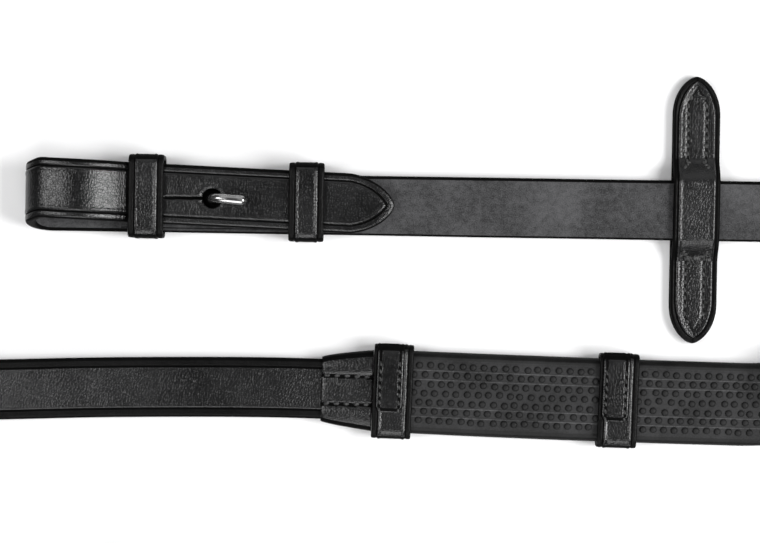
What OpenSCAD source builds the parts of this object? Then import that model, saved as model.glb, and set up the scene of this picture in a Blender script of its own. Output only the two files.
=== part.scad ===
// A pair of leather riding reins with rubber grips, hand stops, hook-stud bit ends and
// a centre buckle, laid out with both reins alongside each other and the slack wound
// on edge into one coil.

/* [Strap] */
// Width of the leather strap
strap_w = 16; // [15.6:0.1:16.2]
// Thickness of the leather strap
strap_t = 3; // [2.8:0.1:3]
// Length of the plain front strap, from the bit loop to the grip
front_len = 385; // [383:1:387]

/* [Grip] */
// Width of the pimpled rubber sleeve
grip_w = 22; // [21:0.1:22]
// Thickness of the rubber sleeve
grip_t = 5.5; // [5.2:0.1:5.5]
// Length of the rubber grip
grip_len = 730; // [700:10:730]
// Distance between two hand stops
stop_pitch = 60; // [58:0.5:60]
// Length of one leather hand stop along the rein
stop_len = 10.5; // [8:0.5:10.5]
// Outer width of a hand stop
stop_w = 25; // [24.4:0.1:25]

/* [Bit end] */
// Inner radius of the loop that takes the bit ring
loop_r = 3.75; // [3.5:0.05:4]
// Width of a keeper along the strap
keeper_l = 9.3; // [7:0.1:9.5]
// Diameter of the hook stud's bar
hook_d = 2.7; // [2.2:0.1:2.8]

/* [Martingale stop] */
// Length of the rein stop across the rein
mstop_l = 71.5; // [66:0.5:74]
// Width of the rein stop
mstop_w = 12.7; // [11:0.1:13]

/* [Hidden] */
$fn = 48;

grain = [0.07, 0.07, 0.075];
flesh = [0.24, 0.24, 0.25];
rubber = [0.10, 0.10, 0.105];
steel = [0.78, 0.78, 0.8];
cotton = [0.05, 0.05, 0.05];

// centre of the whole lay on the table, in the lay's own coordinates
mid_x = 65.12;
mid_y = -24.94;

// ---- the lay ----
z_flat = 2 + strap_t/2;     // centre of a strap that lies flat
z_grip = 4.75;              // centre of a grip that lies flat
z_edge = 13;                // centre of a rein that stands on its edge in the coil
lane_l = 17.54;             // left rein's lane
lane_r = -88;               // right rein's bit end lane
chord = 84;                 // straight length of the coil
gap = 9.8;                  // distance between neighbouring turns
core_r = 24;                // innermost turn
coil_x0 = 188;
coil_x = coil_x0 + chord/2;
outer_r = core_r + 4*gap;
coil_y = lane_l - outer_r;
half_gap = 1.6;             // half the distance between the two straps on the chord
buckle_x = coil_x - 25.5;
bit_x = -94.4;              // left bit loop's end
bit_r_x = -38;              // right bit loop's end
stop_x_l = 84;
stop_y_l = 17.8;
stop_x_r = -119;
stop_y_r = -33.65;

// one arm of the coil, from the top left, turning clockwise for n half turns
function arm(r0, n, roll) = [
  for (h = [0:n-1])
    let (from = h % 2 == 0 ? 90 : -90, cx = h % 2 == 0 ? chord/2 : -chord/2)
    each concat(
      [for (k = [0:15:180])
        let (r = r0 - gap*h - gap*k/180)
        [coil_x + cx + r*cos(from - k), coil_y + r*sin(from - k), z_edge, roll]],
      // and along the straight to the next half turn
      [for (j = [1:8])
        [coil_x + cx*(1 - 2*j/9), coil_y + (r0 - gap*(h + 1))*sin(from - 180), z_edge, roll]])
];
// the straight that leads into the first half turn
function lead_in(x, y, roll) = [
  for (j = [1:9]) [x + (coil_x + chord/2 - x)*j/10, y, z_edge, roll]];
// the last half turn, down to the straight chord through the middle
function core(side, roll) = let (r = (core_r - half_gap)/2) [
  for (k = [0:15:180])
    let (a = (side > 0 ? 90 : -90) - k)
    [coil_x + side*chord/2 + r*cos(a),
     coil_y + side*(half_gap + r) + r*sin(a), z_edge, roll]
];

left_pts = concat(
  [[bit_x, lane_l, z_flat, 0], [0, lane_l, z_flat, 0], [80, lane_l, z_flat, 0],
   [118, lane_l, z_flat, 0], [130, lane_l, 3.8, 4], [144, lane_l, 6, 27],
   [158, lane_l, 9.5, 52], [172, lane_l, 12, 77], [184, lane_l, z_edge, 90]],
  lead_in(184, lane_l, 90),
  arm(outer_r, 4, 90),
  core(1, 90),
  [[coil_x + 37, coil_y + half_gap, z_edge, 90], [coil_x + 29, coil_y + half_gap, z_edge, 90],
   [coil_x + 20, coil_y + half_gap, z_edge, 90], [buckle_x + 20, coil_y + half_gap, z_edge, 90],
   [buckle_x, coil_y + half_gap, z_edge, 90]]
);

right_pts = concat(
  [[bit_r_x, lane_r, z_flat, -180], [-90, lane_r, z_flat, -180], [-134, lane_r, z_flat, -180],
   [-144, lane_r, 4.4, -165], [-154, lane_r, 6.9, -135], [-164, lane_r, 8.2, -108],
   [-175, lane_r, 8.6, -90]],
  [for (k = [20:20:160])
    [-175 - 28*sin(k), -60.5 - 27.5*cos(k), 8.6, -90]],
  [[-175, -33, 8.6, -90], [-164, -33.4, 8.2, -72], [-154, -33.8, 6.9, -45],
   [-144, -34, 4.4, -15], [-134, -34, z_flat, 0],
   [-119, -33.7, z_flat, 0], [-101, -33.1, z_flat, 0], [-74, -32.1, z_flat, 0],
   [-47.5, -31.55, z_flat, 0], [-28, -31.4, 3.6, 0], [-10, -31.6, 4.4, 0],
   [4, -31.9, z_grip, 0], [32.5, -32.7, z_grip, 0], [64, -33.4, z_grip, 0],
   [88, -33.8, z_grip, 0], [101.6, -33.8, 5.1, 3], [114, -32.2, 9.6, 24],
   [126, -27, 12.6, 47], [137.5, -16.5, 13.6, 68], [149.5, -4.6, 13.3, 84],
   [164.5, 4, z_edge, 90], [177.5, 7.5, z_edge, 90]],
  lead_in(177.5, lane_l - gap, 90),
  arm(outer_r - gap, 3, 90),
  core(-1, 90),
  [[coil_x - 37, coil_y - half_gap, z_edge, 90], [coil_x - 29, coil_y - half_gap, z_edge, 90],
   [coil_x - 16, coil_y - half_gap, z_edge, 90], [coil_x, coil_y - half_gap, z_edge, 90],
   [buckle_x + 56, coil_y - half_gap, z_edge, 90]]
);

// ---- a smooth path through the points, and where it is at each length ----
function near(P, i) = P[max(0, min(len(P) - 1, i))];
function uniq(P) = [for (i = [0:len(P)-1]) if (i == 0 || norm(xyz(P[i]) - xyz(P[i-1])) > 0.5) P[i]];
function xyz(p) = [p[0], p[1], p[2]];
function smooth(P, m = 4) = concat(
  [for (i = [0:len(P)-2]) for (k = [0:m-1])
    let (t = k/m, a = near(P, i-1), b = P[i], c = P[i+1], d = near(P, i+2))
    0.5*(2*b + (c - a)*t + (2*a - 5*b + 4*c - d)*t*t + (3*b - a - 3*c + d)*t*t*t)],
  [P[len(P)-1]]);
function lengths(D) = [for (i = 0, s = 0; i < len(D);
  s = s + (i + 1 < len(D) ? norm(xyz(D[i+1]) - xyz(D[i])) : 0), i = i + 1) s];
function tables(P) = let (D = smooth(uniq(P)), S = lengths(D))
  [for (j = [0:3]) [for (i = [0:len(D)-1]) [S[i], D[i][j]]]];
left = tables(left_pts);
right = tables(right_pts);
function total(R) = R[0][len(R[0])-1][0];

function at(R, s) = [lookup(s, R[0]), lookup(s, R[1]), lookup(s, R[2])];
function yaw(R, s) = let (a = at(R, s - 0.8), b = at(R, s + 0.8)) atan2(b[1] - a[1], b[0] - a[0]);
function roll(R, s) = lookup(s, R[3]);
function across(R, s) = let (y = yaw(R, s), f = roll(R, s)) [-sin(y)*cos(f), cos(y)*cos(f), sin(f)];
function up(R, s) = let (y = yaw(R, s), f = roll(R, s)) [sin(y)*sin(f), -cos(y)*sin(f), cos(f)];

// where the reins' parts are along their length, from the bit loop's end
grip_s = front_len;
function stop_s(k) = grip_s + 19 + stop_pitch*k;
close_s = grip_s + grip_len - 10;
cover_s = stop_s(0) - stop_len/2 - 0.1;
rear_s = close_s + stop_len/2 + 0.1;
// stations of the grip: three at each hand stop and even steps between
grip_st = concat(
  [cover_s + 0.3],
  [for (k = [0:6]) for (j = [0:8])
    let (a = stop_s(k) - stop_len/2)
    j < 3 ? a + (j == 0 ? 0.35 : j*stop_len/2)
          : a + stop_len + (k < 6 ? (j - 2)*(stop_pitch - stop_len)/7 : (j - 2)*8.2)],
  [for (j = [1:32]) let (a = stop_s(6) + stop_len/2 + 49.2, b = close_s - stop_len/2)
    a + (b - a)*j/32],
  [close_s, close_s + stop_len/2 - 0.2]);
function steps(a, b, d) = let (n = max(1, ceil((b - a)/d))) [for (i = [0:n]) a + (b - a)*i/n];

// a chamfered section, w wide and t thick
function section(w, t, c) = let (x = w/2, y = t/2)
  [[x - c, -y], [x, -y + c], [x, y - c], [x - c, y], [-x + c, y], [-x, y - c], [-x, -y + c], [-x + c, -y]];
function ring(R, s, w, t, c) = let (p = at(R, s), u = across(R, s), n = up(R, s))
  [for (q = section(w, t, c)) p + q[0]*u + q[1]*n];
module band(R, st, w0, t0, c, w1 = 0, t1 = 0) {
  n = len(st);
  W = w1 == 0 ? w0 : w1;
  T = t1 == 0 ? t0 : t1;
  pts = [for (i = [0:n-1]) each ring(R, st[i],
    w0 + (W - w0)*(st[i] - st[0])/(st[n-1] - st[0]),
    t0 + (T - t0)*(st[i] - st[0])/(st[n-1] - st[0]), c)];
  polyhedron(pts, concat(
    [[for (j = [0:7]) j]],
    [for (i = [0:n-2]) for (j = [0:7]) let (k = (j+1)%8)
      each [[8*i+j, 8*i+8+j, 8*i+8+k], [8*i+j, 8*i+8+k, 8*i+k]]],
    [[for (j = [7:-1:0]) 8*(n-1)+j]]), convexity = 10);
}
module sleeve(R, st, ow, ot, iw, it, oc, ic, ow1 = 0, ot1 = 0) {
  n = len(st);
  W = ow1 == 0 ? ow : ow1;
  T = ot1 == 0 ? ot : ot1;
  f = [for (i = [0:n-1]) (st[i] - st[0])/(st[n-1] - st[0])];
  o = [for (i = [0:n-1]) each ring(R, st[i], ow + (W - ow)*f[i], ot + (T - ot)*f[i], oc)];
  q = [for (i = [0:n-1]) each ring(R, st[i], iw, it, ic)];
  m = 8*n;
  polyhedron(concat(o, q), concat(
    [for (i = [0:n-2]) for (j = [0:7]) let (k = (j+1)%8)
      each [[8*i+j, 8*i+8+j, 8*i+8+k], [8*i+j, 8*i+8+k, 8*i+k]]],
    [for (i = [0:n-2]) for (j = [0:7]) let (k = (j+1)%8)
      each [[m+8*i+j, m+8*i+8+k, m+8*i+8+j], [m+8*i+j, m+8*i+k, m+8*i+8+k]]],
    [for (j = [0:7]) let (k = (j+1)%8) each [[j, k, m+k], [j, m+k, m+j]]],
    [for (j = [0:7]) let (k = (j+1)%8, e = 8*(n-1)) each [[e+j, m+e+k, e+k], [e+j, m+e+j, m+e+k]]]),
    convexity = 10);
}
module lay() translate([-mid_x, -mid_y, 0]) children();

// ---- the bit end, lying along +X with its loop's end at x = 0 and its lane at y = 0 ----
outer_l = loop_r + strap_t;     // outer radius of the loop
loop_z = 2 + outer_l;
bill_z = 6.8;                   // underside of the billet
tip_x = 97.4;                   // billet's tip
turn = -2;                      // the billet lies slightly askew over the strap
hole_x = 49.3;
module profile_y(a, b, y0, y1) translate([0, y1, 0]) rotate([90, 0, 0]) linear_extrude(y1 - y0) children();
module askew() translate([tip_x, 0, 0]) rotate([0, 0, turn]) translate([-tip_x, 0, 0]) children();
module flat_bar(x0, x1, z0, w, t) translate([x0, 0, z0 + t/2]) rotate([90, 0, 90])
  linear_extrude(x1 - x0) polygon(section(w, t, 0.5));
module bit_strap(x1) {
  lean = 3.3/(2*outer_l - strap_t);
  difference() {
    union() {
      flat_bar(outer_l - 0.2, x1, 2, strap_w, strap_t);
      // the turned loop, leaning so that the billet comes out askew
      intersection() {
        translate([outer_l, 16, loop_z]) rotate([90, 0, 0]) cylinder(r = outer_l, h = 28);
        rotate([90, 0, 90]) linear_extrude(outer_l)
          polygon([[-strap_w/2, 2], [strap_w/2, 2],
                   [strap_w/2 + lean*2*outer_l, 2 + 2*outer_l],
                   [-strap_w/2 + lean*2*outer_l, 2 + 2*outer_l]]);
      }
      // the billet's slope down from the loop
      askew() translate([0, strap_w/2, 0]) rotate([90, 0, 0]) linear_extrude(strap_w)
        polygon([[outer_l - 0.1, 2 + 2*outer_l], [outer_l - 0.1, 2 + 2*outer_l - strap_t],
                 [25.4, bill_z], [29, bill_z], [29, bill_z + strap_t], [26.4, bill_z + strap_t]]);
      // the billet, with its pointed tip
      askew() translate([0, 0, bill_z]) linear_extrude(strap_t)
        polygon(concat([[28, -strap_w/2], [tip_x - 10.5, -strap_w/2]],
          [for (i = [1:5]) let (a = 15*i) [tip_x - 10.5 + 10.5*sin(a), -strap_w/2*cos(a) ]],
          [[tip_x, 0]],
          [for (i = [5:-1:1]) let (a = 15*i) [tip_x - 10.5 + 10.5*sin(a), strap_w/2*cos(a)]],
          [[tip_x - 10.5, strap_w/2], [28, strap_w/2]]));
    }
    translate([outer_l, 20, loop_z]) rotate([90, 0, 0]) cylinder(r = loop_r, h = 40);
    // shank's bore in the strap, hook's hole and slit in the billet
    translate([hole_x, 1.2, -1]) cylinder(d = hook_d + 0.1, h = 7);
    translate([hole_x, 1.2, bill_z - 1]) cylinder(d = 4.9, h = strap_t + 3);
    translate([hole_x - 11, 1.0, bill_z - 1]) cube([11, 0.4, strap_t + 3]);
  }
}
module bit_backing() color(flesh) difference() {
  translate([25, -7, 5.05]) cube([57, 14, 1.15]);
  translate([hole_x, 1.2, 0]) cylinder(d = hook_d + 0.1, h = 9);
}
module bit_stud() color(steel) translate([hole_x, 1.2, 0]) {
  cylinder(d = hook_d, h = 11.45);
  translate([0, 0, 6.22]) cylinder(d = 8, h = 0.5);
  translate([0, 0, 11.45]) sphere(d = hook_d);
  translate([0, 0, 11.45]) rotate([0, 90, 0]) cylinder(d = hook_d, h = 7.8);
  translate([7.8, 0, 11.45]) sphere(d = hook_d);
}
module bit_rivet() color(steel) difference() {
  translate([hole_x, 1.2, 0.9]) cylinder(d = 7, h = 1.05);
  translate([hole_x, 1.2, 0]) cylinder(d = hook_d + 0.1, h = 3);
}
module keeper(x, y, w, wall = 1.5) difference() {
  translate([x - keeper_l/2, y - w/2, 0]) cube([keeper_l, w, 12]);
  translate([x - keeper_l/2 - 1, y - w/2 + wall, 1.8]) cube([keeper_l + 2, w - 2*wall, 8.3]);
}
module bit_keeper() color(grain) keeper(32.1, 1.5, 22.3);
module bit_runner() color(grain) keeper(74.6, 0.55, 20.9, 1.45);

// ---- the martingale stop, centred on the strap, its long way along Y ----
function pointed(l, w, p) = [[-w/2, -l/2 + p], [-w/4, -l/2 + p*0.3], [0, -l/2], [w/4, -l/2 + p*0.3], [w/2, -l/2 + p],
  [w/2, l/2 - p], [w/4, l/2 - p*0.3], [0, l/2], [-w/4, l/2 - p*0.3], [-w/2, l/2 - p]];
module mstop_base() color(grain) linear_extrude(1.8) polygon(pointed(mstop_l, mstop_w, 7));
module mstop_bridge() color(grain) intersection() {
  linear_extrude(9) polygon(pointed(mstop_l - 0.6, mstop_w - 0.6, 7));
  translate([-mstop_w/2, 0, 0]) rotate([90, 0, 90]) linear_extrude(mstop_w)
    polygon([[-mstop_l/2, 1.8], [-8.7, 1.8], [-8.7, 5.4], [8.7, 5.4], [8.7, 1.8], [mstop_l/2, 1.8],
             [mstop_l/2, 3.8], [12.3, 3.8], [9.6, 7.4], [-9.6, 7.4], [-12.3, 3.8], [-mstop_l/2, 3.8]]);
}
module mstop_thread() color(cotton)
  for (e = [-1, 1]) for (i = [0:7]) for (r = [-1, 1])
    translate([r*(i == 7 ? 1.2 : 2.35) - 0.35, e*(13.6 + 2.4*i) - 0.9, 3.8]) cube([0.7, 1.8, 0.35]);

// ---- the two reins' nodes ----
module at_left() lay() translate([bit_x, lane_l, 0]) children();
module at_right() lay() translate([bit_r_x, lane_r, 0]) rotate([0, 0, 180]) children();
module front_strap_left() color(flesh) {
  at_left() bit_strap(194.4);
  lay() band(left, concat([194.4], steps(212.4, 290, 7), steps(297, cover_s + 0.1, 7)), strap_w, strap_t, 0.5);
}
module front_strap_right() color(grain) {
  at_right() bit_strap(96);
  lay() band(right, concat(steps(96, 236, 7), steps(250, cover_s + 0.1, 17)), strap_w, strap_t, 0.5);
}
module chape(R) color(grain) lay() sleeve(R, steps(grip_s, cover_s, 4), 17.1, 4.7, 16.2, 3.2, 0.7, 0.5, 21.6, 6);
module rear_cover(R) color(grain) lay() sleeve(R, steps(rear_s, rear_s + 13.6, 4), 21.6, 6, 16.3, 3.5, 0.7, 0.5, 17.1, 4.7);
module grip_core(R) color(cotton) lay() band(R, grip_st, grip_w - 3, 3, 0.5);
module grip_rubber(R) color(rubber) lay() sleeve(R, grip_st, grip_w, grip_t, grip_w - 2.9, 3.1, 1.6, 0.5);
module hand_stop(R, k) color(grain) lay()
  let (s = k < 7 ? stop_s(k) : close_s)
  sleeve(R, [s - stop_len/2, s, s + stop_len/2 - (k < 7 ? 0 : 0.05)], stop_w, 8.7, grip_w + 0.5, grip_t + 0.5, 2.2, 1.6);

// ---- the join: buckle on the left rein, point of the right rein through it ----
frame_l = 17.6;
frame_a = 33;
bar_y = half_gap + strap_t/2 + 1.65;
module join_at() lay() translate([buckle_x, coil_y, z_edge]) children();
left_end = buckle_x + 40;
module rear_strap_left() color(flesh) {
  s1 = total(left) - 40;
  lay() band(left, concat(steps(rear_s + 0.2, s1 - 55, 6), steps(s1 - 50, s1, 3.2)), strap_w, strap_t, 0.5);
  difference() {
    join_at() translate([0, 0, -strap_w/2]) linear_extrude(strap_w) union() {
      translate([0, half_gap - strap_t/2]) square([40, strap_t]);
      difference() {
        translate([0, bar_y]) circle(r = 1.65 + strap_t);
        translate([0, bar_y]) circle(r = 1.65);
        translate([0, 0]) square([20, 20]);
      }
      polygon([[-0.1, bar_y + 1.65], [3, bar_y + 1.65], [13, 3.3], [38, 3.3], [38, 5.6], [13, 5.8], [4, bar_y + 4.65], [-0.1, bar_y + 4.65]]);
    }
    // slot for the tongue
    join_at() translate([-8, -2, -2.2]) cube([13, 14, 4.4]);
    join_at() translate([0, bar_y, -12]) cylinder(r = 1.65, h = 24);
  }
}
module rear_strap_right() color(grain) {
  s0 = total(right) - 56 - 17;
  lay() band(right, concat(steps(rear_s + 0.2, s0 - 48, 6), steps(s0 - 44, s0, 3.2)), strap_w, strap_t, 0.5);
  join_at() difference() {
    translate([-17, 0, 0]) rotate([90, 0, 0]) translate([0, 0, half_gap - strap_t/2]) linear_extrude(strap_t)
      polygon([[0, -strap_w/2], [63, -strap_w/2], [69, -strap_w/2 + 2.6], [72, 0], [69, strap_w/2 - 2.6], [63, strap_w/2], [0, strap_w/2]]);
    // the holes, the tongue's one worn long
    for (x = [-8.8, -4.2, 14, 33, 46]) translate([x, 0, 0]) rotate([90, 0, 0]) translate([0, 0, -2]) cylinder(d = 4, h = 8);
    translate([-8.8, -5, -2]) cube([4.6, 8, 4]);
  }
}
module buckle_frame() color(steel) join_at() translate([0, bar_y, 0]) rotate([0, 0, frame_a]) {
  w = strap_w/2 + 2;
  for (x = [0, -frame_l]) translate([x, 0, -w]) cylinder(r = 1.5, h = 2*w);
  for (z = [-w, w]) {
    translate([-frame_l, 0, z]) rotate([0, 90, 0]) cylinder(r = 1.5, h = frame_l);
    for (x = [0, -frame_l]) translate([x, 0, z]) sphere(r = 1.5);
  }
}
module buckle_tongue() color(steel) join_at() translate([0, bar_y, 0]) difference() {
  union() {
    translate([0, 0, -1.8]) cylinder(r = 2.6, h = 3.6);
    rotate([0, 0, 43.3]) translate([-1.9, 0, 0]) rotate([0, -90, 0]) cylinder(r = 1.1, h = 17.6);
  }
  translate([0, 0, -3]) cylinder(r = 1.55, h = 6);
}
module centre_keeper() color(grain) join_at() difference() {
  translate([20, -4.9, -strap_w/2 - 1.9]) cube([8, 12.4, strap_w + 3.8]);
  translate([19, -3.4, -strap_w/2 - 0.4]) cube([10, 9.3, strap_w + 0.8]);
}

front_strap_left();  // left_front_strap
at_left() bit_backing();  // left_stud_backing
at_left() bit_stud();  // left_hook_stud
at_left() bit_rivet();  // left_stud_rivet
at_left() bit_keeper();  // left_fixed_keeper
at_left() bit_runner();  // left_runner
lay() translate([stop_x_l, stop_y_l, 0]) mstop_base();  // left_stop_base
lay() translate([stop_x_l, stop_y_l, 0]) mstop_bridge();  // left_stop_bridge
lay() translate([stop_x_l, stop_y_l, 0]) mstop_thread();  // left_stop_thread
chape(left);  // left_front_chape
grip_core(left);  // left_grip_core
grip_rubber(left);  // left_rubber_grip
hand_stop(left, 0);  // left_hand_stop_1
hand_stop(left, 1);  // left_hand_stop_2
hand_stop(left, 2);  // left_hand_stop_3
hand_stop(left, 3);  // left_hand_stop_4
hand_stop(left, 4);  // left_hand_stop_5
hand_stop(left, 5);  // left_hand_stop_6
hand_stop(left, 6);  // left_hand_stop_7
hand_stop(left, 7);  // left_hand_stop_8
rear_cover(left);  // left_rear_chape
rear_strap_left();  // left_rear_strap
front_strap_right();  // right_front_strap
at_right() bit_backing();  // right_stud_backing
at_right() bit_stud();  // right_hook_stud
at_right() bit_rivet();  // right_stud_rivet
at_right() bit_keeper();  // right_fixed_keeper
at_right() bit_runner();  // right_runner
lay() translate([stop_x_r, stop_y_r, 0]) mstop_base();  // right_stop_base
lay() translate([stop_x_r, stop_y_r, 0]) mstop_bridge();  // right_stop_bridge
lay() translate([stop_x_r, stop_y_r, 0]) mstop_thread();  // right_stop_thread
chape(right);  // right_front_chape
grip_core(right);  // right_grip_core
grip_rubber(right);  // right_rubber_grip
hand_stop(right, 0);  // right_hand_stop_1
hand_stop(right, 1);  // right_hand_stop_2
hand_stop(right, 2);  // right_hand_stop_3
hand_stop(right, 3);  // right_hand_stop_4
hand_stop(right, 4);  // right_hand_stop_5
hand_stop(right, 5);  // right_hand_stop_6
hand_stop(right, 6);  // right_hand_stop_7
hand_stop(right, 7);  // right_hand_stop_8
rear_cover(right);  // right_rear_chape
rear_strap_right();  // right_rear_strap
buckle_frame();
buckle_tongue();
centre_keeper();
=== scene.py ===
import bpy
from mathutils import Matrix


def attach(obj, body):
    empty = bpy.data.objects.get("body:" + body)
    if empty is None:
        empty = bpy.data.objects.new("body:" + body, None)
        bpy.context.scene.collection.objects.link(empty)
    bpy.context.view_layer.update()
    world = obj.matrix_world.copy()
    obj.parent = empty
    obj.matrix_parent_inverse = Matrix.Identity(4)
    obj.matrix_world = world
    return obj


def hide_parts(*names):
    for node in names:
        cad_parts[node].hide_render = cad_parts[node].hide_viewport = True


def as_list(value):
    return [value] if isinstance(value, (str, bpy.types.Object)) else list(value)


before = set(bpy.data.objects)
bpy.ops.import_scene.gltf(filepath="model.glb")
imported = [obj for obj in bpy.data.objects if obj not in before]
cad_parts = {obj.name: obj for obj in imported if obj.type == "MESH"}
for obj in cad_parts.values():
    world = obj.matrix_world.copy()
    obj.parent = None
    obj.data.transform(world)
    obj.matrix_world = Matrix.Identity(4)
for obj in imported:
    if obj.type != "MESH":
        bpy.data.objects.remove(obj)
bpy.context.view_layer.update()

import math

import bmesh
import bpy
import numpy as np

# The lay's own coordinates are in millimetres, as in part.scad; MID is the lay's centre there.
MID = np.array([65.12, -24.94, 0.0])
STRAP_W, STRAP_T = 16.0, 3.0
STRAP_CREASE = 2.4
GRIP_W = 22.0
Z_FLAT, Z_GRIP, Z_EDGE = 3.5, 4.75, 13.0
LANE_L, LANE_R = 17.54, -88.0
CHORD, GAP, CORE_R = 84.0, 9.8, 24.0
COIL_X = 188 + CHORD / 2
OUTER_R = CORE_R + 4 * GAP
COIL_Y = LANE_L - OUTER_R
HALF_GAP = 1.6
BUCKLE_X = COIL_X - 25.5
BIT_X, BIT_R_X = -94.4, -38.0
SIDES = ("left", "right")
FRONT_LEN, GRIP_LEN = 385.0, 730.0
PITCH, STOP_LEN, STOP_COUNT = 60.0, 10.5, 7


# ---- routes
def smooth(p, m):
    """A Catmull-Rom line through the points, with m steps between two of them."""
    out = []
    for i in range(len(p) - 1):
        a, b, c, d = p[max(i - 1, 0)], p[i], p[i + 1], p[min(i + 2, len(p) - 1)]
        for k in range(m):
            t = k / m
            out.append(0.5 * (2 * b + (c - a) * t + (2 * a - 5 * b + 4 * c - d) * t * t
                              + (3 * b - a - 3 * c + d) * t ** 3))
    out.append(p[-1])
    return np.array(out)


def unit(v):
    """Rows scaled to length 1."""
    return v / np.linalg.norm(v, axis=1)[:, None]


def hump(x, at, width):
    return np.exp(-((x - at) / width) ** 2)


def arm(r0, n, roll):
    """The coil's half turns, n of them, each drawn in by one gap, with the straights between them."""
    out = []
    for h in range(n):
        for k in range(0, 181, 15):
            r = r0 - GAP * h - GAP * k / 180
            a = math.radians((90 if h % 2 == 0 else -90) - k)
            cx = CHORD / 2 if h % 2 == 0 else -CHORD / 2
            out.append([COIL_X + cx + r * math.cos(a), COIL_Y + r * math.sin(a), Z_EDGE, roll])
        # and along the straight to the next half turn
        out += [[COIL_X + cx * (1 - 2 * j / 9), COIL_Y + r * math.sin(a), Z_EDGE, roll] for j in range(1, 9)]
    return out


def lead_in(x, y, roll):
    """The straight that leads into the first half turn."""
    return [[x + (COIL_X + CHORD / 2 - x) * j / 10, y, Z_EDGE, roll] for j in range(1, 10)]


def core(side, roll):
    """The half turn in the coil's middle."""
    r = (CORE_R - HALF_GAP) / 2
    out = []
    for k in range(0, 181, 15):
        a = math.radians((90 if side > 0 else -90) - k)
        out.append([COIL_X + side * CHORD / 2 + r * math.cos(a),
                    COIL_Y + side * (HALF_GAP + r) + r * math.sin(a), Z_EDGE, roll])
    return out


def chord(side, *xs):
    """Along the coil's middle, on one side of its gap, at places from the coil's centre."""
    return [[COIL_X + x, COIL_Y + side * HALF_GAP, Z_EDGE, 90] for x in xs]


# points are x, y, z and roll; the strap lies flat at roll 0 and stands on edge at 90
LEFT_PTS = [[x, LANE_L, z, roll] for x, z, roll in (
    (BIT_X, Z_FLAT, 0), (0, Z_FLAT, 0), (80, Z_FLAT, 0), (118, Z_FLAT, 0), (130, 3.8, 4), (144, 6, 27),
    (158, 9.5, 52), (172, 12, 77), (184, Z_EDGE, 90))]
LEFT_PTS += lead_in(184, LANE_L, 90) + arm(OUTER_R, 4, 90) + core(1, 90)
LEFT_PTS += chord(1, 37, 29, 20, -5.5, -25.5)

RIGHT_PTS = [[x, LANE_R, z, roll] for x, z, roll in (
    (BIT_R_X, Z_FLAT, -180), (-90, Z_FLAT, -180), (-134, Z_FLAT, -180), (-144, 4.4, -165),
    (-154, 6.9, -135), (-164, 8.2, -108), (-175, 8.6, -90))]
RIGHT_PTS += [[-175 - 28 * math.sin(math.radians(k)), -60.5 - 27.5 * math.cos(math.radians(k)), 8.6, -90]
              for k in range(20, 161, 20)]
RIGHT_PTS += [
    [-175, -33, 8.6, -90], [-164, -33.4, 8.2, -72], [-154, -33.8, 6.9, -45],
    [-144, -34, 4.4, -15], [-134, -34, Z_FLAT, 0],
    [-119, -33.7, Z_FLAT, 0], [-101, -33.1, Z_FLAT, 0], [-74, -32.1, Z_FLAT, 0],
    [-47.5, -31.55, Z_FLAT, 0], [-28, -31.4, 3.6, 0], [-10, -31.6, 4.4, 0],
    [4, -31.9, Z_GRIP, 0], [32.5, -32.7, Z_GRIP, 0], [64, -33.4, Z_GRIP, 0],
    [88, -33.8, Z_GRIP, 0], [101.6, -33.8, 5.1, 3], [114, -32.2, 9.6, 24],
    [126, -27, 12.6, 47], [137.5, -16.5, 13.6, 68], [149.5, -4.6, 13.3, 84],
    [164.5, 4, Z_EDGE, 90], [177.5, 7.5, Z_EDGE, 90]]
RIGHT_PTS += lead_in(177.5, LANE_L - GAP, 90) + arm(OUTER_R - GAP, 3, 90) + core(-1, 90)
RIGHT_PTS += chord(-1, -37, -29, -16, 0, 30.5)


class Route:
    """A smooth line through the points: place, sideways and upward directions at a length."""

    def __init__(self, pts, m=12):
        p = np.array(pts, float)
        keep = [0] + [i for i in range(1, len(p)) if np.linalg.norm(p[i, :3] - p[i - 1, :3]) > 0.5]
        self.d = smooth(p[keep], m)
        self.s = np.r_[0, np.cumsum(np.linalg.norm(np.diff(self.d[:, :3], axis=0), axis=1))]
        self.total = self.s[-1]

    def at(self, s):
        s = np.atleast_1d(np.asarray(s, float))
        return np.stack([np.interp(s, self.s, self.d[:, j]) for j in range(3)], -1)

    def frame(self, s):
        """Place, tangent, across and up at each length."""
        s = np.atleast_1d(np.asarray(s, float))
        p = self.at(s)
        t = self.at(s + 0.8) - self.at(s - 0.8)
        yaw = np.arctan2(t[:, 1], t[:, 0])
        t = unit(t)
        f = np.radians(np.interp(s, self.s, self.d[:, 3]))
        cy, sy, cf, sf = np.cos(yaw), np.sin(yaw), np.cos(f), np.sin(f)
        across = np.stack([-sy * cf, cy * cf, sf], -1)
        up = np.stack([sy * sf, -cy * sf, cf], -1)
        return p, t, across, up


LEFT, RIGHT = Route(LEFT_PTS), Route(RIGHT_PTS)


def stop_s(k):
    """A hand stop's place along the route."""
    return FRONT_LEN + 19 + PITCH * k


CLOSE_S = FRONT_LEN + GRIP_LEN - 10
COVER_S = stop_s(0) - STOP_LEN / 2 - 0.1
REAR_S = CLOSE_S + STOP_LEN / 2 + 0.1

# ---- camera, floor and light
ROLL = math.radians(0.9)
VIEW_W, CAM_H = 202.67, 760.0
# the lay's origin, which the camera looks down at
centre = (np.array([0, 0, 0]) - MID) / 1000
cam_data = bpy.data.cameras.new("camera")
cam_data.sensor_width = 36
cam_data.lens = 36 * (CAM_H - 5) / VIEW_W
cam = bpy.data.objects.new("camera", cam_data)
cam.location = (centre[0], centre[1], CAM_H / 1000)
cam.rotation_euler = (0, 0, ROLL)
bpy.context.collection.objects.link(cam)
bpy.context.scene.camera = cam


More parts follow.
